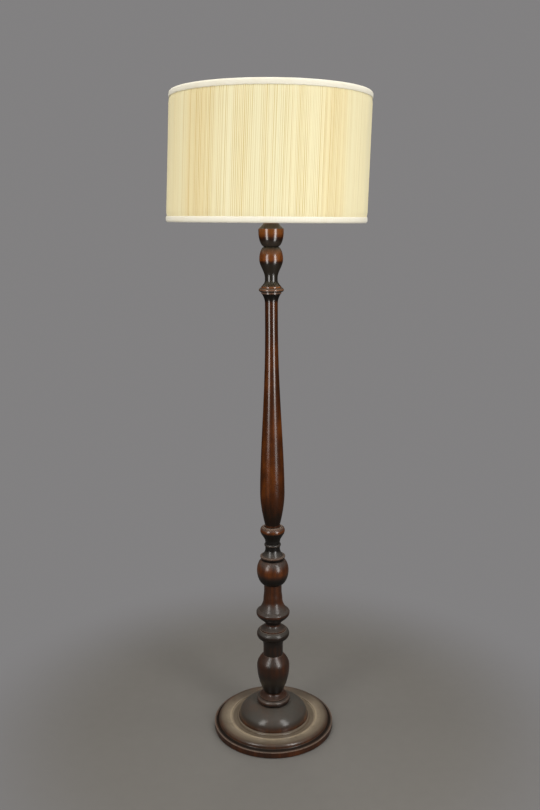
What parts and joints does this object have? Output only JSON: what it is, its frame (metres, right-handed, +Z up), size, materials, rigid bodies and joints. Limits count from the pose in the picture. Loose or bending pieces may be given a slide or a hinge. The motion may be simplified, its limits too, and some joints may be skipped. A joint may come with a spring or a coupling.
{
  "type": "candlestick floor lamp",
  "caption": "Turned dark wood candlestick floor lamp on a round stepped base, with a cream gathered silk drum shade.",
  "frame": {"origin": "on the floor, under the centre of the round base and on the column's axis", "axes": "+Z up along the column, -Y towards the viewer of the picture and the lamp switch, +X to the viewer's right; the cord outlet is at +Y"},
  "size_m": [0.5087, 0.5002, 1.7047],
  "materials": {
    "stained_wood": "dark walnut stain under gloss polish, dusty on upward faces",
    "felt": "dense green-black felt",
    "iron": "painted cast iron",
    "steel": "zinc plated",
    "brass": "polished, slightly tarnished",
    "black_plastic": "dark moulded resin",
    "card": "pressed fibre",
    "bulb_metal": "thin rolled metal",
    "bulb_insulation": "black vitreous insulation",
    "frosted_glass": "frosted inside",
    "clear_glass": "clear",
    "plated_wire": "cream painted steel wire",
    "gathered_silk": "cream silk in fine hand-drawn gathers",
    "lining_cloth": "smooth off-white lining",
    "trim_tape": "plain ivory bias tape"
  },
  "bodies": {
    "stand": {"felt_pad": "felt", "ballast": "iron", "ballast_screws": "steel", "base": "stained_wood", "cord_bush": "black_plastic", "base_collar": "stained_wood", "urn": "stained_wood", "ring_piece": "stained_wood", "bell": "stained_wood", "ball": "stained_wood", "ball_cap": "stained_wood", "lower_cup": "stained_wood", "shaft": "stained_wood", "vase": "stained_wood", "top_cup": "stained_wood", "column_tube": "steel", "tube_washer": "steel", "tube_nut": "steel", "brass_cap": "brass", "harp_saddle": "brass", "saddle_nut": "brass", "holder_cap": "brass", "holder_shell": "brass", "holder_insulator": "card", "switch_body": "black_plastic", "terminal_screws": "brass", "screw_shell": "brass", "centre_contact": "brass", "harp": "brass", "harp_stud": "brass"},
    "knob": {"switch_knob": "black_plastic"},
    "bulb": {"bulb_cap": "bulb_metal", "bulb_insulator": "bulb_insulation", "bulb_tip": "bulb_metal", "bulb_glass": "frosted_glass", "bulb_stem": "clear_glass", "bulb_filament": "steel"},
    "sleeve_left": {"harp_sleeve_left": "brass"},
    "sleeve_right": {"harp_sleeve_right": "brass"},
    "shade": {"shade_spider": "plated_wire", "shade_top_ring": "plated_wire", "shade_bottom_ring": "plated_wire", "shade_ribs": "plated_wire", "shade_lining": "lining_cloth", "shade_cover": "gathered_silk", "shade_top_trim": "trim_tape", "shade_bottom_trim": "trim_tape"},
    "finial": {"finial": "brass"}
  },
  "joints": [
    {"name": "switch_turn", "type": "hinge", "parent": "stand", "child": "knob", "pos_m": [0, -0.021, 1.43733], "axis": [0, -1, 0], "continuous": true},
    {"name": "bulb_turn", "type": "hinge", "parent": "stand", "child": "bulb", "pos_m": [0, 0, 1.46], "axis": [0, 0, 1], "continuous": true},
    {"name": "sleeve_left_slide", "type": "slide", "parent": "stand", "child": "sleeve_left", "axis": [0, 0, 1], "range_m": [0, 0.015]},
    {"name": "sleeve_right_slide", "type": "slide", "parent": "stand", "child": "sleeve_right", "axis": [0, 0, 1], "range_m": [0, 0.015]},
    {"name": "shade_turn", "type": "hinge", "parent": "stand", "child": "shade", "pos_m": [0, 0, 1.66483], "axis": [0.0113, 0, 0.9999], "continuous": true},
    {"name": "finial_turn", "type": "hinge", "parent": "stand", "child": "finial", "pos_m": [0, 0, 1.66483], "axis": [0.0113, 0, 0.9999], "continuous": true}
  ]
}
